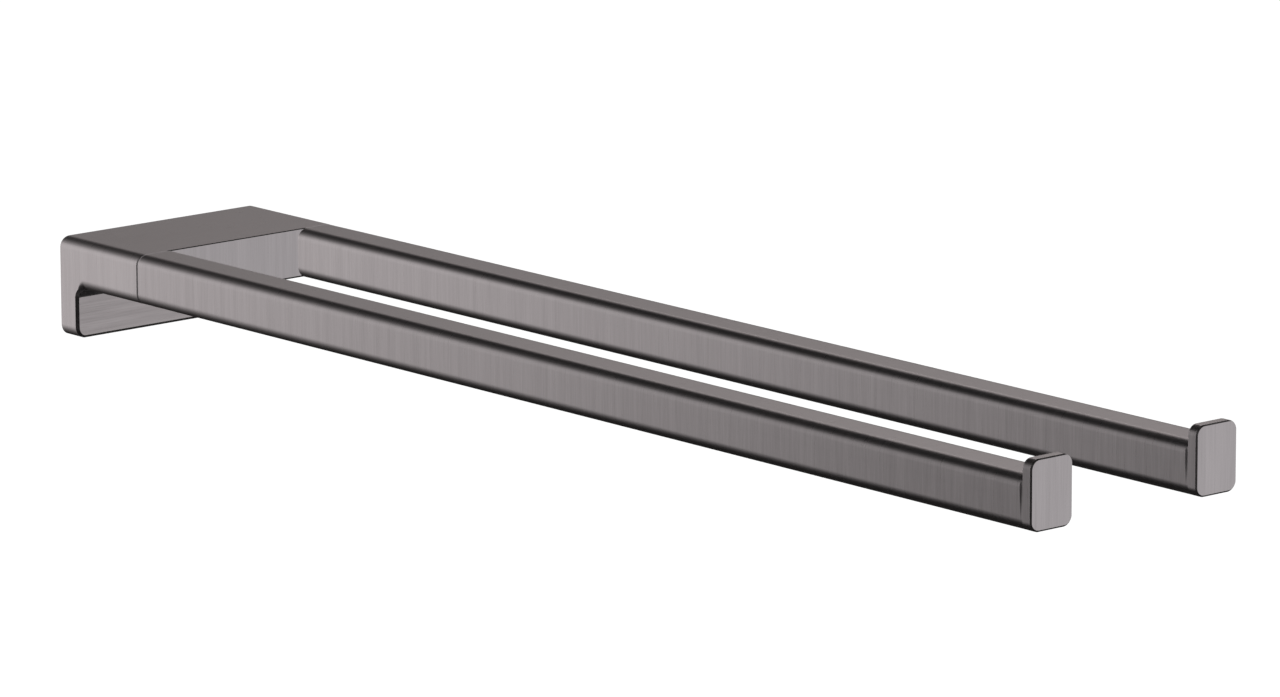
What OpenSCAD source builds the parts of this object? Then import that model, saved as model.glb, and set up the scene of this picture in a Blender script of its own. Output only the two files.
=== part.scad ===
// Double towel bar: an L-shaped holder on the wall carries two square arms that stand straight out.
// Millimetres. The origin is the centre of the wall plate's back face. The wall is the plane Y = 0,
// the arms run along -Y into the room, X runs along the wall and Z is up.

/* [Overall] */
// Distance from the wall to the front of the end caps
overall_reach = 445; // [300:5:600]
// Width of the holder over both arms
holder_width = 79; // [76:1:120]
// Distance from the wall to the seam where the arms begin
shelf_depth = 40; // [36:1:60]

/* [Wall plate] */
// Height of the plate that lies on the wall
plate_height = 31.5; // [30:0.5:45]
// Thickness of the wall plate
plate_thickness = 8.5; // [8:0.5:12]
// Radius of the inside corner under the shelf
inner_fillet = 3; // [1:0.5:5]
// Bevel round the wall plate's front face
plate_bevel = 0.6; // [0.2:0.1:1]
// Bevel on the shelf's front edges between the arms
shelf_bevel = 0.35; // [0.2:0.05:0.8]

/* [Arms] */
// Side of the square arms, which is also the shelf's thickness
bar_size = 15.5; // [14:0.5:18]
// Radius of the long edges of the arms and the holder
edge_radius = 3; // [2.5:0.5:4.5]
// Wall of the arm tubes
tube_wall = 1.5; // [1.2:0.1:2]
// Bevel on each side of the seam between the holder and an arm
seam_bevel = 0.15; // [0.1:0.05:0.3]
// Leg of the relief on an arm's side edges at the cap, at its upper end
relief_top = 0.6; // [0.4:0.1:1]
// Leg of the same relief at its lower end
relief_bottom = 0.15; // [0.1:0.05:0.3]

/* [End caps] */
// Thickness of the end caps
cap_thickness = 3.5; // [2.5:0.5:6]
// Height of the caps above the top of the arms
cap_rise = 5; // [3:0.5:12]
// Bevel round a cap's front face
cap_bevel = 0.4; // [0.2:0.1:0.8]
// Length of the hollow plug that holds a cap in its tube
cap_plug_length = 8; // [6:1:14]
// Wall of the hollow plug
cap_plug_wall = 2; // [1.5:0.1:3]

/* [Mounting plate] */
// Width of the hidden mounting plate
mount_width = 40; // [36:1:42]
// Thickness of the mounting plate
mount_thickness = 6; // [5.6:0.1:6.4]
// Leg of the 45 degree hooks along its top and bottom edges
hook_bevel = 3.5; // [3:0.1:3.8]
// Radius of its corners
mount_corner = 2; // [1:0.5:3]
// Distance between the two wall screws
wall_screw_spacing = 24; // [20:1:26]
// Diameter of the holes for the wall screws
wall_screw_hole = 5.5; // [4.5:0.5:6]
// Diameter of the sinks for the heads of the wall screws
head_sink_diameter = 10; // [9:0.5:11]
// Depth of the sinks for the heads of the wall screws
head_sink_depth = 3.2; // [2:0.2:4]

/* [Back of the holder] */
// Wall above the recess for the mounting plate
recess_top_wall = 3; // [2.5:0.5:4]
// Wall below the recess, which the lock screws are threaded through
recess_bottom_wall = 4.5; // [4:0.5:6]
// Solid metal left behind the seam at the end of each pocket
end_web = 8; // [6:1:12]
// Floor under the cored pockets
core_floor = 3; // [2.5:0.5:4]
// Rib between the two cored pockets
core_rib = 3; // [2:0.5:6]
// Draft of a cored pocket over its depth, on each side
core_draft = 0.4; // [0.2:0.1:0.8]

/* [Arm joint] */
// Length of the tenons that enter the tubes
tenon_length = 12; // [8:1:20]
// Length of the threaded anchor inside each tube
anchor_length = 16; // [12:1:24]
// Free space between a tenon and its anchor, so that the screw draws the seam tight
draw_gap = 1; // [0.5:0.1:1.5]
// Diameter of the arm screws
arm_screw_diameter = 5; // [4:0.5:6]
// Length of an arm screw under its head
arm_screw_length = 35; // [30:1:37]
// Diameter of the screw head
arm_screw_head = 8.5; // [8:0.5:9]
// Height of the screw head
arm_screw_head_height = 5; // [4:0.5:6]
// Size of the hexagon key of the arm screws
arm_screw_key = 4; // [3:0.5:5]
// Depth of the key's socket
arm_screw_key_depth = 2.5; // [2:0.5:3.5]
// Diameter of the pocket for the screw head
arm_screw_pocket = 10; // [9.6:0.2:10.8]
// Thickness of the spring washer under the screw head
washer_thickness = 1.2; // [0.8:0.1:1.6]
// Outer diameter of the spring washer
washer_diameter = 9.2; // [8.8:0.2:9.4]
// Width of the cut in the spring washer
washer_cut = 1; // [0.5:0.1:1.5]

/* [Lock screws] */
// Distance between the two lock screws
lock_screw_spacing = 24; // [18:1:30]
// Diameter of the lock screws
lock_screw_diameter = 4; // [3.5:0.5:4.5]
// Length of a lock screw
lock_screw_length = 10; // [9:0.5:10.5]
// Size of the hexagon key of the lock screws
lock_screw_key = 2; // [1.5:0.5:2.5]
// Depth of the key's socket
lock_screw_key_depth = 2; // [1.5:0.5:3]

/* [Hidden] */
// Gap round a plug, tenon or anchor inside a tube
fit_gap = 0.05;
// Gap between the flanks of a screw and its thread, and round a screw in a plain hole
thread_gap = 0.05;
screw_gap = 0.25;
// Gap round the mounting plate in its recess
seat_gap = 0.2;
// Extra height that lets the holder be lifted off its hooks
lift_gap = 0.5;
// How far the lock screw's cone stays behind the mounting plate's front face
cone_inset = 0.7;
// How far each cut runs past the face that it opens
overrun = 1;
$fn = 64;

dark_chrome = "#847f80";
zinc = "#a9aaa8";
steel = "#c3c5c6";

left = -1;
right = 1;

// Places of the outside
plate_top = plate_height / 2;
plate_bottom = -plate_height / 2;
shelf_bottom = plate_top - bar_size;
arm_x = (holder_width - bar_size) / 2;
arm_z = plate_top - bar_size / 2;
arm_gap = holder_width - 2 * bar_size;
arm_end = overall_reach - cap_thickness;
arm_length = arm_end - shelf_depth;

// Section inside the tubes, and of what fits in it
tube_inner = bar_size - 2 * tube_wall;
tube_inner_radius = edge_radius - tube_wall;
plug_size = tube_inner - 2 * fit_gap;
plug_radius = tube_inner_radius - fit_gap;

// Recess and mounting plate, hooked face to face on the slope at the top
recess_depth = mount_thickness + seat_gap;
recess_top = plate_top - recess_top_wall;
recess_bottom = plate_bottom + recess_bottom_wall;
recess_lip = recess_top - hook_bevel;
mount_top = recess_top - seat_gap;
mount_bottom = recess_bottom + hook_bevel + lift_gap;
mount_mid = (mount_top + mount_bottom) / 2;

// Lock screws: the cone lies along the lower hook of the mounting plate
lock_radius = lock_screw_diameter / 2;
lock_y = -(mount_thickness - cone_inset - lock_radius);
lock_tip = mount_bottom + cone_inset + lock_radius;

// Arm joint, along the arm
pocket_floor = shelf_depth - end_web;
tenon_end = shelf_depth + tenon_length;
anchor_start = tenon_end + draw_gap;
head_seat = pocket_floor - washer_thickness;

// Rounded rectangle, centred
module rounded_section(width, height, radius) {
    square([width - 2 * radius, height], center = true);
    square([width, height - 2 * radius], center = true);
    for (sx = [-1, 1], sy = [-1, 1])
        translate([sx * (width / 2 - radius), sy * (height / 2 - radius)]) circle(radius);
}

// Runs a section drawn in X and Z along -Y, from the given distance in front of the wall
module along_y(start, length) {
    translate([0, -start, 0]) rotate([90, 0, 0]) linear_extrude(length) children();
}

// Runs a section drawn in Y and Z along X, centred
module along_x(length) {
    translate([-length / 2, 0, 0]) rotate([90, 0, 90]) linear_extrude(length) children();
}

// Plan of a bar along -Y with the corners of its far end cut off
module bevelled_plan(width, length, bevel) {
    half = width / 2;
    polygon([
        [-half, 0], [half, 0], [half, bevel - length],
        [half - bevel, -length], [bevel - half, -length], [-half, bevel - length]
    ]);
}

// Bar along -Y with rounded long edges and a bevel round its far end
module edged_bar(width, height, length, radius, bevel) {
    post_x = width / 2 - radius;
    post_z = height / 2 - radius;
    translate([0, 0, -post_z]) linear_extrude(2 * post_z) bevelled_plan(width, length, bevel);
    rotate([0, 90, 0]) translate([0, 0, -post_x]) linear_extrude(2 * post_x)
        bevelled_plan(height, length, bevel);
    for (sx = [-1, 1], sz = [-1, 1])
        translate([sx * post_x, 0, sz * post_z]) rotate([90, 0, 0]) {
            cylinder(h = length - bevel, r = radius);
            translate([0, 0, length - bevel]) cylinder(h = bevel, r1 = radius, r2 = radius - bevel);
        }
}

// Section of the inside fillet: X runs away from the shelf, Y towards the wall
module fillet_section() {
    difference() {
        translate([0, -inner_fillet]) square([inner_fillet, inner_fillet + plate_bevel]);
        translate([inner_fillet, -inner_fillet]) circle(inner_fillet);
    }
}

// Fillet between the plate's front and the shelf's underside, turned round the shelf's lower edges
module inside_fillet() {
    turn_x = holder_width / 2 - edge_radius;
    translate([-turn_x, -plate_thickness, shelf_bottom]) rotate([0, 90, 0])
        linear_extrude(2 * turn_x) fillet_section();
    for (side = [0, 1])
        mirror([side, 0, 0]) intersection() {
            translate([turn_x, -plate_thickness, shelf_bottom + edge_radius]) rotate([-90, 0, 0])
                rotate_extrude(angle = 90) translate([edge_radius, 0]) fillet_section();
            translate([0, -shelf_depth, plate_bottom])
                cube([holder_width / 2, shelf_depth, plate_height]);
        }
}

// Outside of the holder: the wall plate, the shelf and the fillet between them
module bracket_body() {
    edged_bar(holder_width, plate_height, plate_thickness, edge_radius, plate_bevel);
    difference() {
        translate([0, 0, arm_z]) edged_bar(holder_width, bar_size, shelf_depth, edge_radius, seam_bevel);
        for (edge_z = [plate_top, shelf_bottom])
            translate([0, -shelf_depth, edge_z]) rotate([45, 0, 0])
                cube([arm_gap, shelf_bevel * sqrt(2), shelf_bevel * sqrt(2)], center = true);
    }
    inside_fillet();
}

// Undercut recess for the mounting plate: its ceiling slopes down towards the wall
module mount_recess() {
    intersection() {
        along_x(mount_width + 2 * seat_gap) polygon([
            [overrun, recess_bottom], [-recess_depth, recess_bottom], [-recess_depth, recess_top],
            [hook_bevel - seat_gap - recess_depth, recess_lip + seat_gap], [overrun, recess_lip + seat_gap]
        ]);
        translate([0, 0, (recess_top + recess_bottom) / 2]) along_y(-overrun, recess_depth + overrun)
            rounded_section(mount_width + 2 * seat_gap, recess_top - recess_bottom, mount_corner + seat_gap);
    }
}

// Cored pocket in the shelf, drafted on all four sides, to the right of the rib
module core_pocket() {
    near_x = core_rib / 2;
    far_x = mount_width / 2 - mount_corner;
    low_z = shelf_bottom + core_floor;
    mouth = overrun - recess_depth;
    intersection() {
        translate([0, 0, low_z]) linear_extrude(recess_lip - low_z) polygon([
            [near_x, mouth], [far_x, mouth], [far_x, -recess_depth],
            [far_x - core_draft, -pocket_floor], [near_x + core_draft, -pocket_floor], [near_x, -recess_depth]
        ]);
        along_x(mount_width) polygon([
            [mouth, low_z], [mouth, recess_lip], [-recess_depth, recess_lip],
            [-pocket_floor, recess_lip - core_draft], [-pocket_floor, low_z + core_draft],
            [-recess_depth, low_z]
        ]);
    }
}

// Pocket for the arm screw's head and the plain hole on through the tenon
module arm_screw_hole() {
    along_y(-overrun, pocket_floor + overrun) circle(d = arm_screw_pocket);
    along_y(0, tenon_end + overrun) circle(d = arm_screw_diameter + 2 * screw_gap);
}

// Die-cast holder: plate, shelf and the two tenons that carry the arms
module wall_bracket() {
    color(dark_chrome) difference() {
        union() {
            bracket_body();
            for (side = [left, right]) at_arm(side) along_y(shelf_depth - overrun, tenon_length + overrun)
                rounded_section(plug_size, plug_size, plug_radius);
        }
        mount_recess();
        for (side = [0, 1]) mirror([side, 0, 0]) core_pocket();
        for (side = [left, right]) {
            at_arm(side) arm_screw_hole();
            translate([side * lock_screw_spacing / 2, lock_y, plate_bottom - overrun])
                cylinder(h = recess_bottom_wall + 2 * overrun, r = lock_radius);
        }
    }
}

// Plate that is screwed to the wall: hooks above and below, and two sunk screw holes
module mounting_plate() {
    slope_end = hook_bevel - mount_thickness;
    color(zinc) difference() {
        intersection() {
            along_x(mount_width) polygon([
                [0, mount_bottom + hook_bevel], [slope_end, mount_bottom + hook_bevel],
                [-mount_thickness, mount_bottom], [-mount_thickness, mount_top],
                [slope_end, mount_top - hook_bevel], [0, mount_top - hook_bevel]
            ]);
            translate([0, 0, mount_mid]) along_y(-overrun, mount_thickness + 2 * overrun)
                rounded_section(mount_width, mount_top - mount_bottom, mount_corner);
        }
        for (side = [left, right]) translate([side * wall_screw_spacing / 2, 0, mount_mid]) {
            along_y(-overrun, mount_thickness + 2 * overrun) circle(d = wall_screw_hole);
            along_y(mount_thickness - head_sink_depth, head_sink_depth + overrun)
                circle(d = head_sink_diameter);
        }
    }
}

// Headless screw with a 90 degree cone point, driven upwards from below
module lock_screw(side) {
    radius = lock_radius - thread_gap;
    translate([side * lock_screw_spacing / 2, lock_y, lock_tip - lock_screw_length])
        color(steel) difference() {
            union() {
                cylinder(h = lock_screw_length - radius, r = radius);
                translate([0, 0, lock_screw_length - radius]) cylinder(h = radius, r1 = radius, r2 = 0);
            }
            translate([0, 0, -overrun])
                cylinder(h = lock_screw_key_depth + overrun, d = lock_screw_key / cos(30), $fn = 6);
        }
}

// Puts what is drawn about the Y axis on an arm's axis
module at_arm(side) {
    translate([side * arm_x, 0, arm_z]) children();
}

// Relief on an arm's side edge at the cap: a small bevel that runs out downwards
module side_relief() {
    span = bar_size - 2 * edge_radius;
    reach = (relief_top + relief_bottom) / 2 / sqrt(2);
    tilt = atan((relief_top - relief_bottom) / sqrt(2) / span);
    rotate([0, 0, -45]) rotate([0, -tilt, 0]) translate([-reach, -span / 2, -span / 2]) cube(span);
}

// Square tube with rounded edges
module arm(side) {
    color(dark_chrome) at_arm(side) difference() {
        translate([0, -arm_end, 0]) mirror([0, 1, 0])
            edged_bar(bar_size, bar_size, arm_length, edge_radius, seam_bevel);
        along_y(shelf_depth - overrun, arm_length + 2 * overrun)
            rounded_section(tube_inner, tube_inner, tube_inner_radius);
        for (face = [0, 1]) mirror([face, 0, 0]) translate([bar_size / 2, -arm_end, 0]) side_relief();
    }
}

// Threaded block fixed inside an arm, just past the tenon
module arm_anchor(side) {
    color(steel) at_arm(side) along_y(anchor_start, anchor_length) difference() {
        rounded_section(plug_size, plug_size, plug_radius);
        circle(d = arm_screw_diameter);
    }
}

// Socket-head screw that pulls an arm onto the holder from behind
module arm_screw(side) {
    color(steel) at_arm(side) difference() {
        union() {
            along_y(head_seat - arm_screw_head_height, arm_screw_head_height) circle(d = arm_screw_head);
            along_y(head_seat - overrun, arm_screw_length + overrun)
                circle(d = arm_screw_diameter - 2 * thread_gap);
        }
        along_y(head_seat - arm_screw_head_height - overrun, arm_screw_key_depth + overrun)
            circle(d = arm_screw_key / cos(30), $fn = 6);
    }
}

// Split spring washer under the head
module arm_washer(side) {
    color(steel) at_arm(side) along_y(head_seat, washer_thickness) difference() {
        circle(d = washer_diameter);
        circle(d = arm_screw_diameter + 2 * thread_gap);
        translate([0, -washer_cut / 2]) square([washer_diameter, washer_cut]);
    }
}

// End cap: a plate that stands above the arm, and the hollow plug that holds it in the tube
module end_cap(side) {
    color(dark_chrome) at_arm(side) {
        translate([0, -arm_end, cap_rise / 2])
            edged_bar(bar_size, bar_size + cap_rise, cap_thickness, edge_radius, cap_bevel);
        along_y(arm_end - cap_plug_length, cap_plug_length + cap_thickness / 2) difference() {
            rounded_section(plug_size, plug_size, plug_radius);
            square(plug_size - 2 * cap_plug_wall, center = true);
        }
    }
}

wall_bracket();
mounting_plate();
lock_screw(left);  // left_lock_screw
lock_screw(right);  // right_lock_screw
arm(left);  // left_arm
arm(right);  // right_arm
arm_anchor(left);  // left_arm_anchor
arm_anchor(right);  // right_arm_anchor
arm_screw(left);  // left_arm_screw
arm_screw(right);  // right_arm_screw
arm_washer(left);  // left_arm_washer
arm_washer(right);  // right_arm_washer
end_cap(left);  // left_end_cap
end_cap(right);  // right_end_cap
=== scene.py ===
import bpy
import numpy as np
from bpy.props import FloatProperty, FloatVectorProperty, IntProperty, PointerProperty
from mathutils import Matrix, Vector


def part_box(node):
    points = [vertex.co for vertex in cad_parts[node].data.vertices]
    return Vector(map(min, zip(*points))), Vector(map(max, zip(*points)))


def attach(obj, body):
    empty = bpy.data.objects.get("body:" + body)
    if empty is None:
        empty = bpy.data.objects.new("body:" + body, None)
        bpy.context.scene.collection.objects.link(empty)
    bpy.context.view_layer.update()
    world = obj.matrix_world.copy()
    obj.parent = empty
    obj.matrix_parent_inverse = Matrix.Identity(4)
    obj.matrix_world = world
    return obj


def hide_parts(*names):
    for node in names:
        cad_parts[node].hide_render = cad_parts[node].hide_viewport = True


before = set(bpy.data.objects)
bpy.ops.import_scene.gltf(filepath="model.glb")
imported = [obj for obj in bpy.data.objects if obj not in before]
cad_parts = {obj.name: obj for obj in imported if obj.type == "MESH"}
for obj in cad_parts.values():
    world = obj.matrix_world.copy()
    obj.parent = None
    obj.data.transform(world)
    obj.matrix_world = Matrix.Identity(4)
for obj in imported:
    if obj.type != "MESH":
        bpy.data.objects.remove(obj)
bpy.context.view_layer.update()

bl_info = {
    "name": "Double towel bar",
    "version": (1, 0, 0),
    "blender": (4, 5, 0),
    "location": "View3D > Sidebar > Towel bar",
    "description": "Dresses the packed towel bar: brushed holder, arms and end caps, hidden fixings and a studio",
    "category": "Add Mesh",
}

MM = 0.001
LEFT, RIGHT = -1, 1


def extent(node):
    """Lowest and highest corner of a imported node, as arrays in metres."""
    low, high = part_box(node)
    return np.array(low), np.array(high)


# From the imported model: the arms' width and middle lines, and how far the seam and the arms' ends are from the wall.
HOLDER = extent("wall_bracket")
ARM = extent("left_arm")
MOUNTING_PLATE = extent("mounting_plate")
BAR = ARM[1][0] - ARM[0][0]
ARM_X = -(ARM[0][0] + ARM[1][0]) / 2
ARM_Z = (ARM[0][2] + ARM[1][2]) / 2
SEAM = -ARM[1][1]
ARM_END = -ARM[0][1]

# Hidden sizes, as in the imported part: corner radii of the tubes' bores, of the plugs and tenons in them, of the plugs'
# hollows and of the recess, then the pockets that keep the casting's walls even, with the metal below them, their
# near and far side from the middle and their draft, and the lock screws' distance from the wall.
BORE_CORNER = 1.5 * MM
PLUG_CORNER = 1.45 * MM
PLUG_HOLLOW_CORNER = 0.4 * MM
RECESS_CORNER = 2.2 * MM
POCKET_FLOOR, POCKET_NEAR, POCKET_FAR, POCKET_DRAFT = 3 * MM, 1.5 * MM, 18 * MM, 0.4 * MM
LOCK_DEPTH = 3.3 * MM

# How far a tool reaches past a face that it cuts or joins, and a hair's overlap where two joined faces nearly agree.
OVER = MM
HAIR = 0.05 * MM

# Share of a bevel's or a rounding's size that is left where it runs out.
LEAST = 0.1


def linear(code):
    """sRGB hex to linear: c / 12.92 up to 0.04045, ((c + 0.055) / 1.055) ^ 2.4 above."""
    c = np.array([int(code[i : i + 2], 16) for i in (1, 3, 5)]) / 255
    return tuple(np.where(c <= 0.04045, c / 12.92, ((c + 0.055) / 1.055) ** 2.4).tolist())


def length(name, description, millimetres):
    """A length, written in millimetres and kept in metres."""
    return FloatProperty(
        name=name, description=description, default=millimetres * MM, unit="LENGTH", precision=5, min=0
    )


def angle(name, description, degrees):
    """An angle, written in degrees and kept in radians."""
    return FloatProperty(name=name, description=description, default=np.radians(degrees), subtype="ANGLE")


def legs(name, description, millimetres):
    """A bevel's legs on the left, right, top and bottom, written and kept in millimetres."""
    return FloatVectorProperty(name=name, description=description, default=millimetres, min=0, size=4)


def colour(name, description, code):
    """A colour, written as sRGB hex and kept linear."""
    return FloatVectorProperty(
        name=name, description=description, default=linear(code), subtype="COLOR", size=3, min=0, max=1
    )


class TOWELBAR_PG_holder(bpy.types.PropertyGroup):
    plate_thickness: length("Plate thickness", "Thickness of the wall plate", 8.5)
    inner_fillet: length("Inside fillet", "Radius of the inside corner under the shelf", 3.3)
    fillet_start: angle("Inside fillet start", "Angle at which the inside corner leaves the plate", 10)
    plate_bevel: length(
        "Plate bevel", "Bevel round the wall plate's front and up round the inside corners, measured on the face", 0.76
    )
    plate_bevel_side: length("Plate bevel, side", "The same bevel, measured on the sides", 1.12)
    plate_bevel_foot: length("Plate bevel, foot", "The same bevel, measured on the bottom", 0.28)
    shelf_bevel: length("Shelf bevel", "Bevel on the shelf's front edges between the arms", 0.28)
    shelf_bevel_foot: length("Shelf bevel, foot", "The same bevel on the lower edge, measured on the front", 0.55)
    recess_floor: length("Recess bottom wall", "Metal below the recess for the mounting plate", 4.5)
    hook: length("Hook", "Leg of the slope that the mounting plate hooks into", 3.5)
    seat_gap: length("Seat gap", "Gap round the mounting plate", 0.2)
    screw_pocket: length("Screw pocket", "Diameter of the pockets for the arm screws' heads", 10)
    screw_hole: length("Screw hole", "Diameter of the holes for the arm screws", 5.5)
    end_web: length("End web", "Solid metal behind the seam", 8)
    lock_spacing: length("Lock screw spacing", "Distance between the two lock screws", 24)
    lock_bore: length("Lock screw bore", "Diameter of the lock screws' bores", 4)


class TOWELBAR_PG_arms(bpy.types.PropertyGroup):
    side_reach: length("Edge reach, sides", "How far a rounded long edge reaches over a side face", 3.4)
    top_reach: length("Edge reach, top", "How far a rounded long edge reaches over a top face", 3.9)
    foot_reach: length("Edge reach, bottom", "How far a rounded long edge reaches over a bottom face", 2.85)
    foot_drop: length("Foot drop", "How far the arms', shelf's and caps' bottoms lie below the packed ones", 0.18)
    side_turn: FloatProperty(
        name="Edge start, sides", description="1 starts as a circle, more starts softly", default=1.0, min=1, max=3
    )
    top_turn: FloatProperty(
        name="Edge start, top", description="1 starts as a circle, more starts softly", default=1.15, min=1, max=3
    )
    foot_turn: FloatVectorProperty(
        name="Edge start, lower edges", description="The same on the sides and the bottom; less than 1 starts faster",
        default=(0.95, 0.85), min=0.5, max=3, size=2,
    )
    seam_bevel: length("Seam bevel", "Bevel on the holder's edge at the seam, measured inwards", 0.15)
    seam_run: length("Seam bevel, length", "The same bevel, measured along the holder's side", 0.55)
    seam_top: length("Seam rounding", "Depth of the rounding on an arm's top edge at the seam", 0.1)
    seam_length: length("Seam length", "Length of the shape that an arm's end has at the seam", 0.38)
    seam_dip: length("Seam dip", "How much deeper an arm's outer side lies behind the seam's bevel", 0.02)
    relief_length: length("Relief length", "Length of the hollow in an arm's side at the cap", 1.25)
    relief_depth: length("Relief depth", "Depth of that hollow at its upper end; it runs out below", 0.36)
    wall: length("Tube wall", "Wall of the arm tubes", 1.5)
    edge_steps: IntProperty(name="Edge steps", description="Faces round each long edge", default=24, min=4)


class TOWELBAR_PG_caps(bpy.types.PropertyGroup):
    corner: length("Corner radius", "Radius of a cap's corners", 3)
    bevel_face: legs("Front bevel on the face", "Left, right, top and bottom, in mm", (0.33, 0.12, 0.32, 0.5))
    bevel_side: legs("Front bevel on the sides", "Left, right, top and bottom, in mm", (0.55, 0.15, 0.5, 0.35))
    plug_wall: length("Plug wall", "Wall of the hollow plug inside the tube", 2)
    fit_gap: length("Fit gap", "Gap round the plug in its tube", 0.05)


class TOWELBAR_PG_finish(bpy.types.PropertyGroup):
    chrome: colour("Dark chrome", "Dark, warm grey chrome of the holder, arms and caps", "#847f80")
    zinc: colour("Zinc", "Zinc casting of the mounting plate", "#a9aaa8")
    steel: colour("Steel", "Stainless steel of the screws, washers and anchors", "#c3c5c6")
    line_width: length("Brush line width", "Width of the brush lines; finer than this doesn't show", 0.5)
    line_length: length("Brush line length", "Length of the brush lines", 15)


class TOWELBAR_PG_stage(bpy.types.PropertyGroup):
    camera: FloatVectorProperty(
        name="Camera", description="Place of the camera", default=(-1.5465, -2.0376, 0.52805),
        subtype="TRANSLATION", unit="LENGTH", size=3,
    )
    turn: angle("Camera turn", "Turn of the camera from straight in front", -40.6135)
    rise: angle("Camera rise", "Angle at which the camera looks down", 12.2503)
    roll: angle("Camera roll", "Roll of the camera", -0.169)
    lens: FloatProperty(
        name="Lens", description="Focal length for a 36 mm wide sensor", default=230.51, subtype="DISTANCE_CAMERA"
    )
    floor: FloatProperty(name="Floor", description="Height of the floor", default=-1.2, unit="LENGTH")
    tent: FloatProperty(
        name="Tent radius", description="Radius of the light tent round the towel bar", default=1.1, unit="LENGTH"
    )


def corner(reach, turn, steps):
    """Quarter turn from a side face to the top. Its angle is 90 degrees times t^a / (t^a + (1 - t)^b), for t from 0 to
    1 along the edge, with a and b from turn, so 1 and 1 give a circle. The points are the running sums of the angle's
    sine and cosine, scaled so that the legs on the side and on the top are as long as reach says. The normals are
    the curve's direction, scaled alike and turned by 90 degrees. Returns how far in from the side, how far up, and
    the normals."""
    finer = 16
    t = np.linspace(0, 1, steps * finer + 1)
    bend = np.pi / 2 * t ** turn[0] / (t ** turn[0] + (1 - t) ** turn[1])
    rise, run = np.cos(bend), np.sin(bend)
    up, across = (np.concatenate([[0], np.cumsum((f[1:] + f[:-1]) / 2)]) for f in (rise, run))
    tall, wide = reach[0] / up[-1], reach[1] / across[-1]
    normal = np.stack([tall * rise, wide * run], 1)
    normal /= np.linalg.norm(normal, axis=1)[:, None]
    return across[::finer] * wide, up[::finer] * tall, normal[::finer]


def outline(width, height, reach, turn=(1, 1), steps=24, centre=(0, 0), under=None, spans=1):
    """Rounded rectangle in X and Z: the quarter turn at the upper right, then its mirror images round the rectangle.
    Reach is how far the corners reach over the sides, and over the top and bottom, or one number for both. Under, if
    given, has the lower corners' own reaches and their turn. Spans is how many pieces each upright side has. Returns
    the points and their outward normals."""
    side, top = reach if np.ndim(reach) else (reach, reach)
    points, normals = [], []
    upper = corner((side, top), turn, steps)
    lower = corner(*under, steps) if under else upper
    for flip, way, quarter in (((1, 1), 1, upper), ((-1, 1), -1, upper), ((-1, -1), 1, lower), ((1, -1), -1, lower)):
        across, up, normal = quarter
        point = np.stack([width / 2 - across, height / 2 - up[-1] + up], 1)
        points.append((point * np.array(flip))[::way])
        normals.append((normal * np.array(flip))[::way])
        if way < 0:
            straight = height - upper[1][-1] - lower[1][-1]
            down = np.linspace(0, 1, spans + 1)[1:-1, None] * np.array([0, flip[0] * straight])
            points.append(points[-1][-1] + down)
            normals.append(np.repeat(normals[-1][-1:], len(down), 0))
    return np.concatenate(points) + np.array(centre), np.concatenate(normals)


def long_edge(arms):
    """The settings that outline needs for the long edges."""
    return {
        "reach": (arms.side_reach, arms.top_reach),
        "under": ((arms.side_reach + arms.foot_drop, arms.foot_reach), tuple(arms.foot_turn)),
        "turn": (arms.side_turn, arms.top_turn), "steps": arms.edge_steps,
    }


def at_depth(points, depth):
    """Lays an outline in X and Z at a distance in front of the wall: y = -depth."""
    return np.stack([points[:, 0], np.broadcast_to(-depth, len(points)), points[:, 1]], 1)


def at_height(points, z):
    """Lays an outline in X and Y at a height."""
    return np.stack([points[:, 0], points[:, 1], np.full(len(points), z)], 1)


def at_side(points, x):
    """Lays an outline in Y and Z at a distance from the middle."""
    return np.stack([np.full(len(points), x), points[:, 0], points[:, 1]], 1)


def circle(radius, centre):
    """64 points at the radius's cosine and sine round the centre."""
    a = np.linspace(0, 2 * np.pi, 64, endpoint=False)
    return np.stack([np.cos(a), np.sin(a)], 1) * radius + np.array(centre)


def solid(name, rings, endless=False):
    """Skin over a stack of rings of equal count: point (i, j) is point j of ring i, and each four neighbours are a
    face. Endless joins the last ring to the first, and otherwise both ends are closed with one flat face. The sum of
    the faces' signed volumes tells which way they point, and turns them outwards."""
    rings = np.asarray(rings, float)
    levels, count = rings.shape[:2]
    ids = np.arange(levels * count).reshape(levels, count)
    low, high = (ids, np.roll(ids, -1, 0)) if endless else (ids[:-1], ids[1:])
    quads = np.stack([low, np.roll(low, -1, 1), np.roll(high, -1, 1), high], -1).reshape(-1, 4)
    ends = np.zeros((0, count), int) if endless else np.stack([ids[0, ::-1], ids[-1]])
    points = rings.reshape(-1, 3)
    volume = 0
    for faces in (quads, ends):
        corners = points[faces]
        volume += (corners[:, :1] * np.cross(corners[:, 1:-1], corners[:, 2:])).sum()
    if volume < 0:
        quads, ends = quads[:, ::-1], ends[:, ::-1]
    mesh = bpy.data.meshes.new(name)
    mesh.from_pydata(points, [], quads.tolist() + ends.tolist())
    made = bpy.data.objects.new(name, mesh)
    bpy.context.scene.collection.objects.link(made)
    return made


def bar(name, points, depths):
    """One outline repeated at each distance in front of the wall."""
    return solid(name, [at_depth(points, d) for d in depths])


def work(piece, tools, operation):
    """Joins or cuts the piece with each tool, one after the other, and removes the tools."""
    for tool in tools:
        step = piece.modifiers.new(operation, "BOOLEAN")
        step.operation, step.object, step.solver = operation, tool, "EXACT"
        step.material_mode = "TRANSFER"
    shape = bpy.data.meshes.new_from_object(piece.evaluated_get(bpy.context.evaluated_depsgraph_get()))
    shape.name = piece.name
    piece.modifiers.clear()
    piece.data = shape
    for tool in tools:
        bpy.data.objects.remove(tool)


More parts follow.
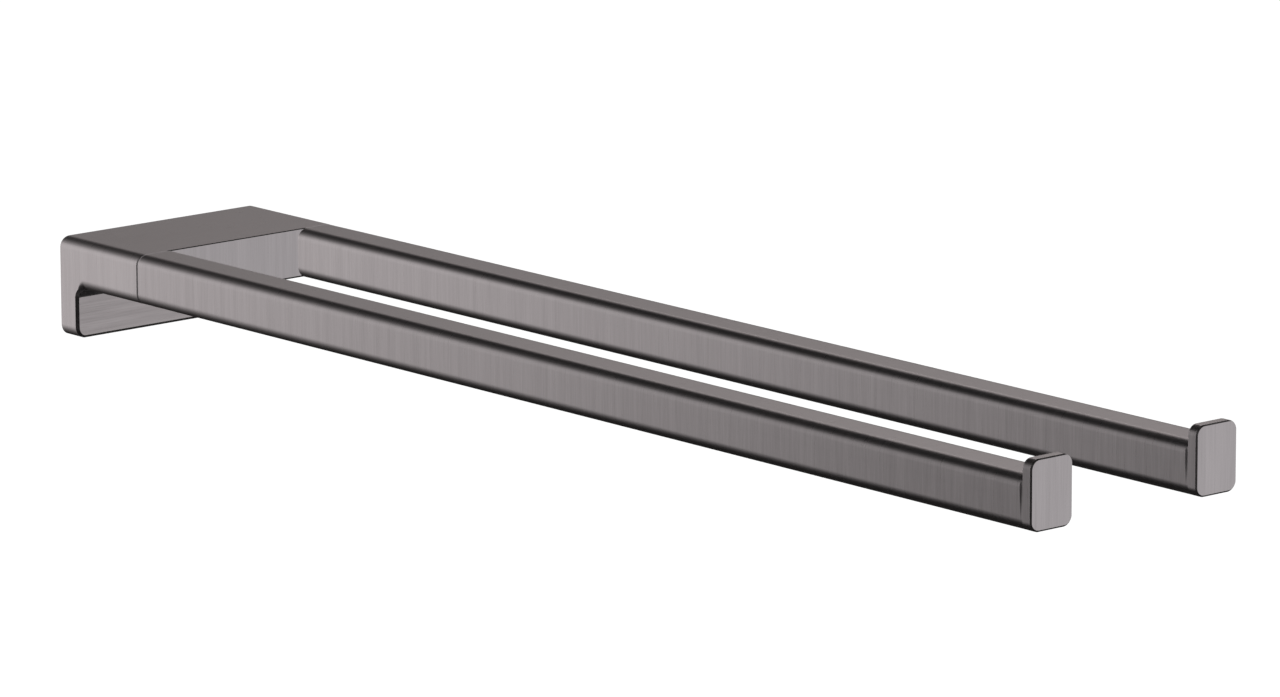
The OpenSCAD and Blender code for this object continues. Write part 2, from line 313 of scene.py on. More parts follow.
def brush(piece, finishes, pick, crease=28):
    """Gives each face its finish and a UV map whose u runs across the brush lines, which is the way that the light
    spreads. Pick gets the faces' centres and normals, and returns the number of each face's finish and the way its
    lines run: 0 across the object, with u = y and v the distance round the section, 1 upright on a front, with u = x
    and v = z, or 2 level on a front, with u = z and v = x. Faces that meet at more than the crease angle, in degrees,
    aren't shaded as one."""
    mesh = piece.data
    count = len(mesh.polygons)
    centres, normals = np.empty(count * 3), np.empty(count * 3)
    mesh.polygons.foreach_get("center", centres)
    mesh.polygons.foreach_get("normal", normals)
    centres, normals = centres.reshape(-1, 3), normals.reshape(-1, 3)
    number, way = pick(centres, normals)
    mesh.materials.clear()
    for finish in finishes:
        mesh.materials.append(finish)
    mesh.polygons.foreach_set("material_index", number.astype(np.int32))
    mesh.polygons.foreach_set("use_smooth", np.ones(count, bool))
    totals, corners = np.empty(count, np.int32), np.empty(len(mesh.loops), np.int32)
    mesh.polygons.foreach_get("loop_total", totals)
    mesh.loops.foreach_get("vertex_index", corners)
    face = np.repeat(np.arange(count), totals)
    points = np.empty(len(mesh.vertices) * 3)
    mesh.vertices.foreach_get("co", points)
    x, y, z = points.reshape(-1, 3)[corners].T
    n, w = normals[face], way[face]
    u = np.choose(w, [y, x, z])
    v = np.choose(w, [z * n[:, 0] - x * n[:, 2], z, x])
    layer = mesh.uv_layers.new(name="brush")
    layer.uv.foreach_set("vector", np.stack([u, v], 1).ravel() / MM)
    mesh.set_sharp_from_angle(angle=np.radians(crease))
    weigh = piece.modifiers.new("flat faces keep their normals", "WEIGHTED_NORMAL")
    weigh.keep_sharp = True


def settle(piece, name):
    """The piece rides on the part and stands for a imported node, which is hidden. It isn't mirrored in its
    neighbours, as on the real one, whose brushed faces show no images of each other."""
    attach(piece, "root")
    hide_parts(name)
    piece.visible_glossy = False


# Tint of the light that dark chrome throws back at a glancing angle, where plain chrome would turn white.
WARM_GLANCE = (1.0, 0.945, 0.935)
# How much lighter the holder's casting takes the plating than the tubes do, on its top and sides.
CASTING_LIFT = 1.07
# Painted shade: how much of each colour the metal keeps on the fronts, where its lines are upright, so that the fronts
# come out darker and cooler than the rest.
UPRIGHT_TINT = (0.945, 0.96, 0.97)
# The range that nearly all of a noise texture's values lie in.
NOISE_RANGE = {"From Min": 0.3, "From Max": 0.7}


def node(tree, kind, sockets=None, **settings):
    """Adds a node. Settings are its own properties, and sockets holds its inputs: a value, or the output that feeds
    it."""
    made = tree.nodes.new(kind)
    for key, value in settings.items():
        setattr(made, key, value)
    for key, value in (sockets or {}).items():
        if isinstance(value, bpy.types.NodeSocket):
            tree.links.new(value, made.inputs[key])
        else:
            made.inputs[key].default_value = value
    return made


def blank(name):
    """A material with an empty tree and its output, or one that was made before, alone."""
    finish = bpy.data.materials.get(name)
    if finish:
        return finish, None, None
    finish = bpy.data.materials.new(name)
    finish.use_nodes = True
    finish.node_tree.nodes.clear()
    return finish, finish.node_tree, node(finish.node_tree, "ShaderNodeOutputMaterial")


def brushed_chrome(name, metal, grain, strength):
    """Zinc casting or tube, plated with dark chrome over a belt-brushed ground. The belt leaves fine parallel lines, so
    the light spreads wide across them and little along them, and each line takes a slightly different tone, least on
    top, where the lines lie along the view. Real lines are about 0.1 mm wide, too fine to show, so they are drawn
    coarser. Grain is the length of a line's patch along X, Y and Z, and strength is how much the tone varies."""
    finish, tree, out = blank(name)
    if tree is None:
        return finish
    # A third of the tone comes from bands three times as wide, shifted so that they don't follow the lines.
    place = node(tree, "ShaderNodeTexCoord").outputs["Object"]
    fine = node(tree, "ShaderNodeMapping", {"Vector": place, "Scale": tuple(1 / g for g in grain)})
    wide = node(tree, "ShaderNodeMapping", {
        "Vector": place, "Scale": tuple(0.3 / g for g in grain), "Location": (3.1, 7.7, 5.3),
    })
    lines = node(tree, "ShaderNodeTexNoise", {"Vector": fine.outputs[0], "Scale": 1, "Detail": 3, "Roughness": 0.6})
    bands = node(tree, "ShaderNodeTexNoise", {"Vector": wide.outputs[0], "Scale": 1, "Detail": 2})
    both = node(tree, "ShaderNodeMix", {"Factor": 0.35, "A": lines.outputs["Fac"], "B": bands.outputs["Fac"]})
    facing = node(tree, "ShaderNodeNewGeometry").outputs["Normal"]
    up = node(tree, "ShaderNodeSeparateXYZ", {"Vector": facing}).outputs["Z"]
    level = node(tree, "ShaderNodeMath", {0: up}, operation="ABSOLUTE")
    span = node(tree, "ShaderNodeMapRange", {"Value": level.outputs[0], "To Min": strength, "To Max": strength / 3})
    swing = node(tree, "ShaderNodeMapRange", {"Value": both.outputs[0], **NOISE_RANGE, "To Min": -1, "To Max": 1})
    tone = node(
        tree, "ShaderNodeMath", {0: swing.outputs[0], 1: span.outputs[0], 2: 1}, operation="MULTIPLY_ADD"
    )
    shade = node(tree, "ShaderNodeVectorMath", {0: metal, "Scale": tone.outputs[0]}, operation="SCALE")
    gloss = node(tree, "ShaderNodeMapRange", {
        "Value": lines.outputs["Fac"], **NOISE_RANGE, "To Min": 0.27, "To Max": 0.33,
    })
    relief = node(tree, "ShaderNodeBump", {
        "Height": lines.outputs["Fac"], "Strength": strength, "Distance": 0.02 * MM,
    })
    across = node(tree, "ShaderNodeTangent", direction_type="UV_MAP", uv_map="brush")
    shader = node(tree, "ShaderNodeBsdfPrincipled", {
        "Base Color": shade.outputs[0], "Metallic": 1, "Roughness": gloss.outputs[0], "Anisotropic": 0.7,
        "Tangent": across.outputs[0], "Normal": relief.outputs[0], "Specular Tint": (*WARM_GLANCE, 1),
    })
    tree.links.new(shader.outputs[0], out.inputs["Surface"])
    return finish


def grainy_metal(name, metal, roughness, grain, depth, mottle):
    """Metal with an even, unbrushed skin: as cast and plated, tumbled, or turned and pickled. A fine grain breaks up
    its gloss, and its tone drifts a little over a few millimetres. Grain is the size of a grain, depth its relief and
    mottle how much the tone drifts."""
    finish, tree, out = blank(name)
    if tree is None:
        return finish
    place = node(tree, "ShaderNodeTexCoord").outputs["Object"]
    grains = node(tree, "ShaderNodeTexNoise", {"Vector": place, "Scale": 1 / grain, "Detail": 2})
    drift = node(tree, "ShaderNodeTexNoise", {"Vector": place, "Scale": 0.12 / grain, "Detail": 3}).outputs["Fac"]
    tone = node(tree, "ShaderNodeMapRange", {
        "Value": drift, **NOISE_RANGE, "To Min": 1 - mottle, "To Max": 1 + mottle,
    })
    shade = node(tree, "ShaderNodeVectorMath", {0: metal, "Scale": tone.outputs[0]}, operation="SCALE")
    gloss = node(tree, "ShaderNodeMapRange", {
        "Value": drift, **NOISE_RANGE, "To Min": roughness - 0.05, "To Max": roughness + 0.05,
    })
    relief = node(tree, "ShaderNodeBump", {"Height": grains.outputs["Fac"], "Strength": 0.5, "Distance": depth})
    shader = node(tree, "ShaderNodeBsdfPrincipled", {
        "Base Color": shade.outputs[0], "Metallic": 1, "Roughness": gloss.outputs[0], "Normal": relief.outputs[0],
    })
    tree.links.new(shader.outputs[0], out.inputs["Surface"])
    return finish


def chromes(scene, lift=1.0):
    """The dark chrome finishes: lines across the object, upright lines on a front with painted shade that makes them
    darker and cooler, level lines on a front, the rough plated skin inside and behind the holder, and the smooth skin
    of the bevels and of the inside corner under the shelf, which the belt doesn't reach. The first is as much lighter
    as lift says."""
    f = scene.towel_bar_finish
    metal, wide, long = tuple(f.chrome), f.line_width, f.line_length
    lines = "dark_chrome_brushed_across" if lift == 1 else "dark_chrome_casting_brushed_across"
    return [
        brushed_chrome(lines, tuple(lift * m for m in metal), (long, wide, long), 0.15),
        # The upright finish is a copy of the chrome with painted shade: darker and cooler on the fronts.
        brushed_chrome(
            "dark_chrome_brushed_upright", tuple(np.multiply(metal, UPRIGHT_TINT)), (wide, long, long), 0.13
        ),
        brushed_chrome("dark_chrome_brushed_level", metal, (long, long, wide), 0.24),
        grainy_metal("dark_chrome_as_cast", metal, 0.45, 0.4 * MM, 0.02 * MM, 0.06),
        grainy_metal("dark_chrome_unbrushed", metal, 0.2, 0.2 * MM, 0.001 * MM, 0.03),
    ]


def seam_leg(out, leg):
    """The seam's bevel shows on the sides and runs out to a hair on the top: a tenth, plus nine tenths of the
    sideways part of the normal."""
    return leg * (LEAST + (1 - LEAST) * np.abs(out[:, :1]))


def inside_fillet(width, tall, middle, arms, thick, drop, reach):
    """Fills the inside corner under the shelf. Its ring at each depth is the shelf's outline with its bottom lowered
    by what is left of the arc. The lower corners are a fifth as round as the shelf's at the plate, which is nearly
    sharp, and grow to all of it along the arc. The upper half stays inside the shelf."""
    sharp, buried = 0.2, 0.5 * MM
    lowered = [drop[0], *drop, -HAIR]
    depths = [thick - buried, *reach, reach[-1] + HAIR]
    rings = []
    for lower, depth, grown in zip(lowered, depths, [0, *np.linspace(0, 1, len(drop)), 1]):
        over = (arms.side_reach + arms.foot_drop) * (sharp + (1 - sharp) * grown**0.6)
        under = arms.foot_reach * (sharp + (1 - sharp) * grown)
        ring, _ = outline(
            width, tall + lower, (over, under), tuple(arms.foot_turn), arms.edge_steps, (0, middle - lower / 2)
        )
        ring[:, 1] = np.minimum(ring[:, 1], ARM_Z)
        rings.append(at_depth(ring, depth))
    return solid("inside_fillet", rings)


def hidden_cuts(holder):
    """Tools for what the wall, the plate and the arms hide: the recess with the slope for the mounting plate's hook,
    and on each side the pocket that keeps the casting's walls even, the arm screw's pocket and hole and the lock
    screw's bore."""
    low, high = HOLDER
    gap, hook = holder.seat_gap, holder.hook
    recess_low, recess_high = low[2] + holder.recess_floor, MOUNTING_PLATE[1][2] + gap
    recess_width = MOUNTING_PLATE[1][0] - MOUNTING_PLATE[0][0] + 2 * gap
    recess_depth = -MOUNTING_PLATE[0][1] + gap
    lip = recess_high - hook
    opening, _ = outline(
        recess_width, recess_high - recess_low, RECESS_CORNER, steps=8, centre=(0, (recess_high + recess_low) / 2)
    )
    lidded = np.stack([opening[:, 0], np.minimum(opening[:, 1], lip + gap)], 1)
    tools = [solid("recess", [
        at_depth(lidded, -OVER), at_depth(lidded, recess_depth - hook + gap), at_depth(opening, recess_depth),
    ])]
    floor, base = SEAM - holder.end_web, high[2] - BAR + POCKET_FLOOR
    mouth = np.array([[POCKET_NEAR, base], [POCKET_FAR, base], [POCKET_FAR, lip], [POCKET_NEAR, lip]])
    end = mouth + POCKET_DRAFT * np.array([[1, 1], [-1, 1], [-1, -1], [1, -1]])
    for side in (LEFT, RIGHT):
        turned = np.array([side, 1])
        tools.append(solid("core_pocket", [
            at_depth(mouth * turned, recess_depth - OVER), at_depth(mouth * turned, recess_depth),
            at_depth(end * turned, floor),
        ]))
        centre = (side * ARM_X, ARM_Z)
        tools.append(bar("screw_pocket", circle(holder.screw_pocket / 2, centre), [-OVER, floor]))
        tools.append(bar("screw_hole", circle(holder.screw_hole / 2, centre), [floor - OVER, OVER - low[1]]))
        bore = circle(holder.lock_bore / 2, (side * holder.lock_spacing / 2, -LOCK_DEPTH))
        tools.append(solid("lock_bore", [at_height(bore, z) for z in (low[2] - OVER, recess_low + OVER)]))
    return tools


def rim(holder, plate, out, thick, swing, drop, reach, bottom):
    """Tool for the bevel round the plate's front face and up round both inside corners: a wedge carried along the
    path. Sideways is the outline's normal, and forwards turns from straight ahead to straight down along the
    corner's arc. The wedge's inner face joins the points one leg sideways and one leg backwards from the path, and
    the backward leg passes from the sides' to the foot's with the square of the normal's sideways part. The path
    leads in and out level under the shelf's sides."""
    spare, lead = 0.2 * MM, 6 * MM
    lower, sideways = plate[len(plate) // 2 :], out[len(plate) // 2 :]
    path = at_depth(lower, thick)
    ahead = np.tile([0.0, -1.0, 0.0], (len(path), 1))
    forward = np.concatenate([[-reach[-1] - lead], -reach[::-1]])
    bend = np.concatenate([[np.pi / 2], swing[::-1]])
    bend[-1] /= 2
    corner_z = bottom - np.concatenate([[0], drop[::-1]])
    arc = np.stack([np.full(len(forward), lower[0][0]), forward, corner_z], 1)
    arc_ahead = np.stack([np.zeros(len(forward)), -np.cos(bend), -np.sin(bend)], 1)
    mirror = np.array([-1, 1, 1])
    points = np.concatenate([arc, path, (arc * mirror)[::-1]])
    ahead = np.concatenate([arc_ahead, ahead, arc_ahead[::-1]])
    side = np.zeros_like(points)
    side[:, 0] = np.concatenate([np.full(len(arc), -1.0), sideways[:, 0], np.full(len(arc), 1.0)])
    side[len(arc) : -len(arc), 2] = sideways[:, 1]
    face = holder.plate_bevel
    back = holder.plate_bevel_foot + (holder.plate_bevel_side - holder.plate_bevel_foot) * side[:, :1] ** 2
    inner = points - face * (1 + spare / back) * side + spare * ahead
    outer = points + spare * side + spare * ahead
    rear = points + spare * side - back * (1 + spare / face) * ahead
    return solid("rim", np.stack([inner, outer, rear], 1))


def edge_cuts(holder, arms, top, tall):
    """Tools for the bevels on the shelf's front edges: a bar with a diamond section, carried from arm to arm. It runs
    into the arms' rounded edges and ends just before their flat top or bottom begins."""
    short, back = 0.3 * MM, holder.shelf_bevel
    tools = []
    for z, face, reach in ((top, back, arms.top_reach), (top - tall, holder.shelf_bevel_foot, arms.foot_reach)):
        free = ARM_X - BAR / 2 + reach - short
        wedge = np.array([[-SEAM - back, z], [-SEAM, z + face], [-SEAM + back, z], [-SEAM, z - face]])
        tools.append(solid("edge_cut", [at_side(wedge, x) for x in (-free, free)]))
    return tools


class TOWELBAR_OT_holder(bpy.types.Operator):
    """Builds the L-shaped holder: wall plate, shelf, inside corner and tenons, with the recess, pockets and bores"""

    bl_idname = "towelbar.holder"
    bl_label = "Holder"

    def execute(self, context):
        scene = context.scene
        h, a, c = scene.towel_bar_holder, scene.towel_bar_arms, scene.towel_bar_caps
        low, high = HOLDER
        width, height, top = high[0] - low[0], high[2] - low[2], high[2]
        tall, middle = BAR + a.foot_drop, ARM_Z - a.foot_drop / 2
        thick, fillet, start = h.plate_thickness, h.inner_fillet, h.fillet_start
        edge = long_edge(a)
        across, upright, level, rough, smooth = chromes(scene, CASTING_LIFT)

        plate, plate_out = outline(width, height, **edge)
        body = bar("holder", plate, [0, thick])
        section, out = outline(width, tall, centre=(0, middle), **edge)
        seam = seam_leg(out, a.seam_bevel)
        inside_plate = 2 * MM
        shelf = solid("shelf", [
            at_depth(section, inside_plate), at_depth(section, SEAM - a.seam_run),
            at_depth(section - seam * out, SEAM),
        ])
        # The inside corner's arc: at each of 13 angles, how far it hangs below the shelf and how far in front of the
        # wall it has come.
        swing = np.linspace(start, np.pi / 2, 13)
        drop, reach = fillet - fillet * np.sin(swing), thick + fillet * (np.cos(start) - np.cos(swing))
        corner_fill = inside_fillet(width, tall, middle, a, thick, drop, reach)
        inner = BAR - 2 * a.wall - 2 * c.fit_gap
        tenons = []
        for side in (LEFT, RIGHT):
            tenon, _ = outline(inner, inner, PLUG_CORNER, steps=8, centre=(side * ARM_X, ARM_Z))
            tenons.append(bar("tenon", tenon, [SEAM - OVER, -low[1]]))
        work(body, [shelf, corner_fill, *tenons], "UNION")

        hidden = hidden_cuts(h)
        shown = [rim(h, plate, plate_out, thick, swing, drop, reach, middle - tall / 2), *edge_cuts(h, a, top, tall)]
        for pieces, finish in ((hidden, rough), ((body, *shown), across)):
            for piece in pieces:
                piece.data.materials.append(finish)
        work(body, hidden + shown, "DIFFERENCE")
        cast = [i for i, m in enumerate(body.data.materials) if m == rough]
        index = np.empty(len(body.data.polygons), np.int32)
        body.data.polygons.foreach_get("material_index", index)
        inside = np.isin(index, cast)

        def pick(centres, normals):
            # Level lines on the plate's front and on the inside corner's two ends, upright ones with painted shade on
            # the other fronts, the cast skin behind and inside, the smooth skin on the inside corner and the bevels
            # that face forwards.
            forwards, sideways = -normals[:, 1], np.abs(normals[:, 0])
            from_plate = centres[:, 1] + thick
            front, back = forwards > 0.99, forwards < -0.9
            plate_front = front & (np.abs(from_plate) < 0.2 * MM)
            in_corner = (forwards > 0.02) & (np.abs(from_plate + fillet / 2) < fillet / 2)
            corner_end = in_corner & (sideways > 0.3)
            unbrushed = (forwards > 0.25) & ~corner_end
            number = np.select([inside | back, plate_front, front, unbrushed], [3, 2, 1, 4], 0)
            way = np.select([plate_front | corner_end, front | back], [2, 1], 0)
            return number, way

        brush(body, [across, upright, level, rough, smooth], pick, crease=12.5)
        settle(body, "wall_bracket")
        return {"FINISHED"}


class TOWELBAR_OT_arms(bpy.types.Operator):
    """Builds the two square tubes with their soft long edges, the rounding at the seam and the hollow at the caps"""

    bl_idname = "towelbar.arms"
    bl_label = "Arms"

    def execute(self, context):
        a = context.scene.towel_bar_arms
        straight_from = 20 * MM
        across = chromes(context.scene)[0]

        def pick(centres, normals):
            # Lines across the arm, except on its two ends.
            end = np.abs(normals[:, 1]) > 0.9
            return np.zeros(len(centres), int), np.where(end, 1, 0)

        for side, name in ((LEFT, "left_arm"), (RIGHT, "right_arm")):
            centre = (side * ARM_X, ARM_Z)
            section, out = outline(
                BAR, BAR + a.foot_drop, centre=(centre[0], ARM_Z - a.foot_drop / 2), spans=8, **long_edge(a)
            )
            inner = BAR - 2 * a.wall
            bore, _ = outline(inner, inner, BORE_CORNER, steps=a.edge_steps, centre=centre, spans=8)
            # At the seam the top and the inner side are rounded, and the outer side starts as deep as the holder's
            # bevel and dips a little further, with a slope that runs out as 1 - (1 - s)^2.
            outer_side, inner_side = np.clip(side * out[:, 0], 0, 1), np.clip(-side * out[:, 0], 0, 1)
            rounding = a.seam_top * np.clip(out[:, 1], LEAST, 1) + a.seam_bevel * inner_side
            start = []
            for s in (0, 0.35, 1):
                step = a.seam_bevel + a.seam_dip * (1 - (1 - s) ** 2)
                inwards = rounding * (1 - s) ** 2 + step * outer_side
                start.append(at_depth(section - inwards[:, None] * out, SEAM + a.seam_length * s))
            # The hollow at the cap: none at a quarter of the height, full at three quarters, and only where the
            # normal is at least five sixths sideways. Its depth grows as 1 - (1 - s)^3 along it, so that it starts
            # with a sharp step and ends level at the cap, and its lower end is 0.7 times as long.
            rise = np.clip((section[:, 1] - ARM[0][2]) / BAR * 2 - 0.5, 0, 1)
            deep = a.relief_depth * rise * np.clip(np.abs(out[:, 0]) * 6 - 5, 0, 1)
            long = a.relief_length * (0.7 + 0.3 * rise)
            hollow = [
                at_depth(section - (deep * (1 - (1 - s) ** 3))[:, None] * out, ARM_END - long * (1 - s))
                for s in (0, 0.12, 0.25, 0.4, 0.55, 0.7, 0.85, 1)
            ]
            piece = solid(name + "_tube", [
                *start, at_depth(section, SEAM + straight_from), *hollow,
                at_depth(bore, ARM_END), at_depth(bore, SEAM),
            ], endless=True)
            brush(piece, [across], pick)
            settle(piece, name)
        return {"FINISHED"}


class TOWELBAR_OT_end_caps(bpy.types.Operator):
    """Builds the two end caps, each with the hollow plug that holds it in its tube"""

    bl_idname = "towelbar.end_caps"
    bl_label = "End caps"

    def execute(self, context):
        a, c = context.scene.towel_bar_arms, context.scene.towel_bar_caps
        across, upright, _, _, smooth = chromes(context.scene)
        lip, lip_length = 0.06 * MM, 0.4 * MM

        def pick(centres, normals):
            # Upright lines with painted shade on the front, the smooth skin on its bevel, lines across the object on
            # the rest.
            forwards = -normals[:, 1]
            flat = np.abs(forwards) > 0.99
            bevel = (forwards > 0.1) & ~flat
            level = bevel & (np.abs(normals[:, 2]) > np.abs(normals[:, 0]))
            return np.select([flat & (forwards > 0), bevel], [1, 2], 0), np.where(flat | level, 1, 0)

        for side, name in ((LEFT, "left_end_cap"), (RIGHT, "right_end_cap")):
            low, high = extent(name)
            x, height = side * ARM_X, high[2] - low[2] + a.foot_drop
            face, out = outline(BAR, height, c.corner, centre=(x, high[2] - height / 2))
            size = BAR - 2 * a.wall - 2 * c.fit_gap
            opening = size - 2 * c.plug_wall
            plug, _ = outline(size, size, PLUG_CORNER, centre=(x, ARM_Z))
            hollow, _ = outline(opening, opening, PLUG_HOLLOW_CORNER, centre=(x, ARM_Z))
            # The bevel has its own legs on the left, right, top and bottom, as the photo shows it: they pass into
            # each other with the squares of the normal's parts.
            ways = np.stack([out[:, 0] < 0, out[:, 0] >= 0, out[:, 1] >= 0, out[:, 1] < 0], 1)
            shares = ways * (out**2)[:, [0, 0, 1, 1]]
            on_face = (shares @ np.array(c.bevel_face) * MM)[:, None]
            on_side = shares @ np.array(c.bevel_side) * MM
            rounding = lip * np.clip(out[:, 1:], LEAST, 1)
            piece = solid(name + "_plate", [
                at_depth(hollow, ARM_END), at_depth(hollow, -high[1]),
                at_depth(plug, -high[1]), at_depth(plug, ARM_END),
                at_depth(face - rounding * out, ARM_END), at_depth(face, ARM_END + lip_length),
                at_depth(face, -low[1] - on_side), at_depth(face - on_face * out, -low[1]),
            ])
            brush(piece, [across, upright, smooth], pick)
            settle(piece, name)
        return {"FINISHED"}


class TOWELBAR_OT_fixings(bpy.types.Operator):
    """Finishes the hidden fixings: the mounting plate, and the screws, washers and anchors"""

    bl_idname = "towelbar.fixings"
    bl_label = "Fixings"

    def execute(self, context):
        f = context.scene.towel_bar_finish
        zinc = grainy_metal("zinc_die_cast", tuple(f.zinc), 0.5, 0.5 * MM, 0.03 * MM, 0.1)
        steel = grainy_metal("stainless_steel_turned", tuple(f.steel), 0.28, 0.15 * MM, 0.004 * MM, 0.04)
        shown = {"wall_bracket", "left_arm", "right_arm", "left_end_cap", "right_end_cap"}
        for name in sorted(set(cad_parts) - shown):
            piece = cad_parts[name]
            piece.visible_glossy = False
            piece.data.materials.clear()
            piece.data.materials.append(zinc if name == "mounting_plate" else steel)
        return {"FINISHED"}


# The light tent's soft panels: compass turn from the wall towards +X and rise of the middle in degrees, half width,
# half height below and above the middle in degrees, and brightness, where 1 is the white of the background. The first
# five give the tones that the photo shows, and the others light what it doesn't: the far sides, the back, the top and
# the underside.
PANELS = [
    (-25.0, 1.7, 22.5, 23.2, 22.2, 2.19),
    (16.4, -4.6, 17.8, 7.8, 19.5, 0.66),
    (50.3, 23.3, 17.4, 4.8, 12.1, 1.61),
    (87.4, -1.1, 21.7, 29.4, 32.3, 0.91),
    (138.2, -11.4, 23.9, 15.9, 12.7, 1.87),
    (174, 0, 11, 22, 22, 1.0),
    (-75, -6, 9, 26, 30, 0.35),
    (-150, 2, 19, 28, 28, 0.85),
    (138, 26, 22, 10, 16, 0.6),
    (0, 90, 4000, 13, 13, 0.5),
    (0, -90, 4000, 13, 13, 0.1),
]
# The tent's brightness between the panels.
TENT_LEVEL = 0.037
# The world's strength for all light but what is seen or mirrored, and how much the floor glows where it is seen.
WORLD_LEVEL = 0.85
FLOOR_LIFT = 0.35
# The lamp's width in metres, its power in watts and its place.
LAMP_SIZE, LAMP_POWER, LAMP_PLACE = 1.5, 40, (0, -0.2, 2.4)


def tent_glow(turn, rise):
    """Brightness of the tent at a compass turn and a rise in degrees: a low even level, plus each panel's brightness
    times exp(-0.69 (a^3 + b^3)), with a and b the distances from its middle in half widths and half heights, so that
    it is half as bright at its edges and fades softly."""
    glow = np.full(np.broadcast(turn, rise).shape, TENT_LEVEL)
    for middle, height, half_width, below, above, brightness in PANELS:
        away = np.abs((turn - middle + 180) % 360 - 180) / half_width
        climb = np.abs(rise - height) / np.where(rise > height, above, below)
        glow = glow + brightness * np.exp(-0.69 * (away**3 + climb**3))
    return glow


def place_camera(scene, s):
    """Its back axis points from the object to it, from the turn and the rise: x = sin(turn) cos(rise), y = -cos(turn)
    cos(rise), z = sin(rise). Right and up are turned by the roll about that axis."""
    back = np.array([np.sin(s.turn) * np.cos(s.rise), -np.cos(s.turn) * np.cos(s.rise), np.sin(s.rise)])
    right = np.cross(-back, [0, 0, 1])
    right /= np.linalg.norm(right)
    up = np.cross(right, -back)
    level, lean = np.cos(s.roll), np.sin(s.roll)
    columns = np.stack([level * right + lean * up, level * up - lean * right, back], 1)
    camera = bpy.data.cameras.new("camera")
    camera.lens, camera.sensor_width, camera.sensor_fit = s.lens, 36, "HORIZONTAL"
    camera.clip_end = 100
    stand = bpy.data.objects.new("camera", camera)
    scene.collection.objects.link(stand)
    stand.matrix_world = Matrix.Translation(s.camera) @ Matrix(columns.tolist()).to_4x4()
    scene.camera = stand


def seen_or_mirrored(tree):
    """1 for rays that come from the camera, a reflection or glass, and 0 for the light that falls on things."""
    path = node(tree, "ShaderNodeLightPath")
    seen = path.outputs["Is Camera Ray"]
    for kind in ("Is Glossy Ray", "Is Transmission Ray"):
        seen = node(tree, "ShaderNodeMath", {0: seen, 1: path.outputs[kind]}, operation="MAXIMUM").outputs[0]
    return seen


def light_world(scene):
    """White where it is seen, and a plain level for all other light."""
    world = bpy.data.worlds.new("studio")
    scene.world = world
    world.use_nodes = True
    world.cycles.sampling_method = "NONE"
    tree = world.node_tree
    tree.nodes.clear()
    seen = seen_or_mirrored(tree)
    light = node(tree, "ShaderNodeMapRange", {"Value": seen, "To Min": WORLD_LEVEL, "To Max": 1})
    sky = node(tree, "ShaderNodeBackground", {"Color": (1, 1, 1, 1), "Strength": light.outputs[0]})
    node(tree, "ShaderNodeOutputWorld", {"Surface": sky.outputs[0]})


def lay_floor(scene, height):
    """Pale matt board far below, 40 m wide, lifted to white where it is seen, with the shadow left in it."""
    half = 20
    square = np.array([[-half, -half], [half, -half], [half, half], [-half, half]])
    mesh = bpy.data.meshes.new("floor")
    mesh.from_pydata(at_height(square, height), [], [[0, 1, 2, 3]])
    floor = bpy.data.objects.new("floor", mesh)
    scene.collection.objects.link(floor)
    board, tree, out = blank("pale_board")
    lift = node(tree, "ShaderNodeMath", {0: seen_or_mirrored(tree), 1: FLOOR_LIFT}, operation="MULTIPLY")
    matt = node(tree, "ShaderNodeBsdfDiffuse", {"Color": (0.8, 0.8, 0.8, 1)})
    glow = node(tree, "ShaderNodeEmission", {"Strength": lift.outputs[0]})
    both = node(tree, "ShaderNodeAddShader", {0: matt.outputs[0], 1: glow.outputs[0]})
    tree.links.new(both.outputs[0], out.inputs["Surface"])
    mesh.materials.append(board)
    return floor


def hang_lamp(scene):
    """A soft square above, for the floor's shadow. The metal gets its light from the tent."""
    lamp = bpy.data.lights.new("softbox", "AREA")
    lamp.size, lamp.energy = LAMP_SIZE, LAMP_POWER
    above = bpy.data.objects.new("softbox", lamp)
    above.location = LAMP_PLACE
    above.visible_glossy = False
    scene.collection.objects.link(above)


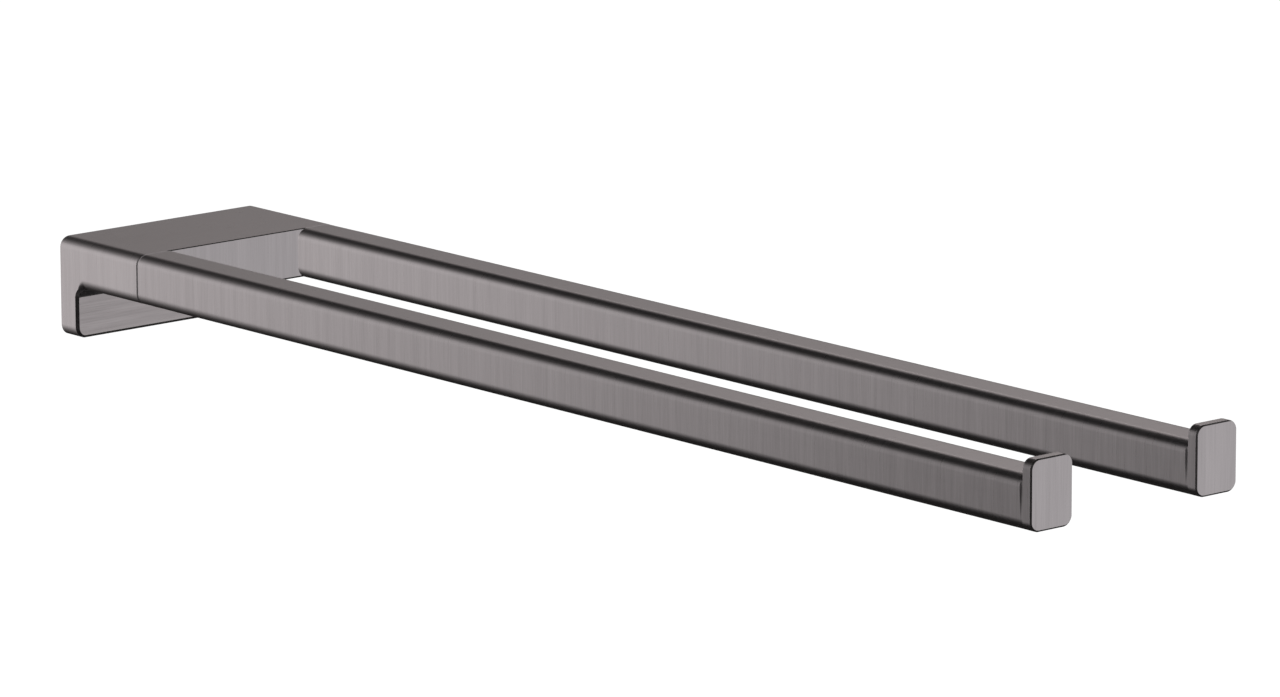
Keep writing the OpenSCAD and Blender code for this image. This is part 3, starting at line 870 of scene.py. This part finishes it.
def pitch_tent(radius):
    """A sphere on a grid of turns and rises: x = sin(turn) cos(rise), y = cos(turn) cos(rise), z = sin(rise), times
    the radius. Only reflections see it. The grid is about as fine as the panels' soft edges need, and stops 2 degrees
    short of the poles, which the end faces close."""
    turn, rise = np.meshgrid(np.arange(0, 360, 3.0), np.linspace(-88, 88, 89))
    t, r = np.radians(turn), np.radians(rise)
    ball = np.stack([np.sin(t) * np.cos(r), np.cos(t) * np.cos(r), np.sin(r)], -1) * radius
    ball[..., 1] -= ARM_END / 2
    tent = solid("tent", ball)
    brightness = tent.data.attributes.new("glow", "FLOAT", "POINT")
    brightness.data.foreach_set("value", tent_glow(turn, rise).ravel().astype(np.float32))
    cloth, tree, out = blank("lit_tent")
    level = node(tree, "ShaderNodeAttribute", attribute_name="glow")
    glow = node(tree, "ShaderNodeEmission", {"Strength": level.outputs["Fac"]})
    tree.links.new(glow.outputs[0], out.inputs["Surface"])
    cloth.cycles.emission_sampling = "NONE"
    tent.data.materials.append(cloth)
    tent.visible_camera = tent.visible_diffuse = tent.visible_shadow = tent.visible_transmission = False
    return tent


class TOWELBAR_OT_stage(bpy.types.Operator):
    """Sets up the studio: camera, white world, pale floor, a soft lamp and the light tent"""

    bl_idname = "towelbar.stage"
    bl_label = "Stage"

    def execute(self, context):
        scene, s = context.scene, context.scene.towel_bar_stage
        place_camera(scene, s)
        light_world(scene)
        floor = lay_floor(scene, s.floor)
        hang_lamp(scene)
        tent = pitch_tent(s.tent)
        scene.view_settings.view_transform = "Standard"
        return {"FINISHED"}


class TOWELBAR_PT_sidebar(bpy.types.Panel):
    """Lists the pieces in the 3D view's sidebar"""

    bl_idname = "TOWELBAR_PT_sidebar"
    bl_label = "Towel bar"
    bl_space_type = "VIEW_3D"
    bl_region_type = "UI"
    bl_category = "Towel bar"

    def draw(self, context):
        for step in STEPS:
            self.layout.operator(step.bl_idname)


GROUPS = {
    "towel_bar_holder": TOWELBAR_PG_holder,
    "towel_bar_arms": TOWELBAR_PG_arms,
    "towel_bar_caps": TOWELBAR_PG_caps,
    "towel_bar_finish": TOWELBAR_PG_finish,
    "towel_bar_stage": TOWELBAR_PG_stage,
}
STEPS = (TOWELBAR_OT_stage, TOWELBAR_OT_holder, TOWELBAR_OT_arms, TOWELBAR_OT_end_caps, TOWELBAR_OT_fixings)


def register():
    for kind in (*GROUPS.values(), *STEPS, TOWELBAR_PT_sidebar):
        bpy.utils.register_class(kind)
    for name, kind in GROUPS.items():
        setattr(bpy.types.Scene, name, PointerProperty(type=kind))


def unregister():
    for name in GROUPS:
        delattr(bpy.types.Scene, name)
    for kind in (TOWELBAR_PT_sidebar, *STEPS, *GROUPS.values()):
        bpy.utils.unregister_class(kind)


def main():
    register()
    bpy.ops.towelbar.stage()
    bpy.ops.towelbar.holder()
    bpy.ops.towelbar.arms()
    bpy.ops.towelbar.end_caps()
    bpy.ops.towelbar.fixings()


if __name__ == "__main__":
    main()
